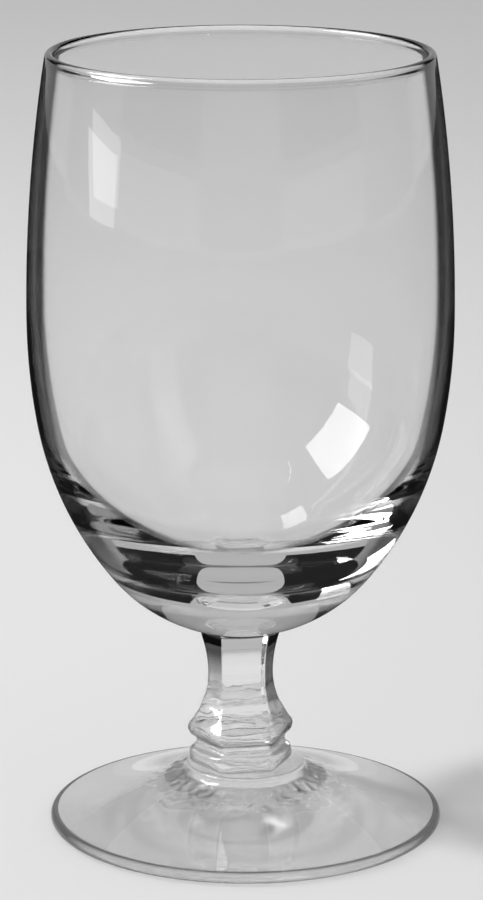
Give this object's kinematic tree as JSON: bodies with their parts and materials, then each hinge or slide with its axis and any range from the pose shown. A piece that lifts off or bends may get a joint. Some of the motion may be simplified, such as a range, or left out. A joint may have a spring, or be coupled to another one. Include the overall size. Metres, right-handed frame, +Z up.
{
  "type": "juice glass",
  "caption": "Footed juice glass in clear glass: rounded bowl with a polished lip and a thick base, short faceted stem with a knop, solid round foot; holds a drink and stands on a table.",
  "frame": {"origin": "point where the bowl's axis meets the plane on which the foot rests", "axes": "+Z up along the bowl's axis, +Y and -Y square to the two broad faces of the stem, +X towards the side to which the foot is set off"},
  "size_m": [0.0666, 0.0666, 0.124],
  "materials": {
    "clear_glass": "polished"
  },
  "bodies": {
    "root": {"bowl": "clear_glass", "stem": "clear_glass", "foot": "clear_glass"}
  },
  "joints": []
}
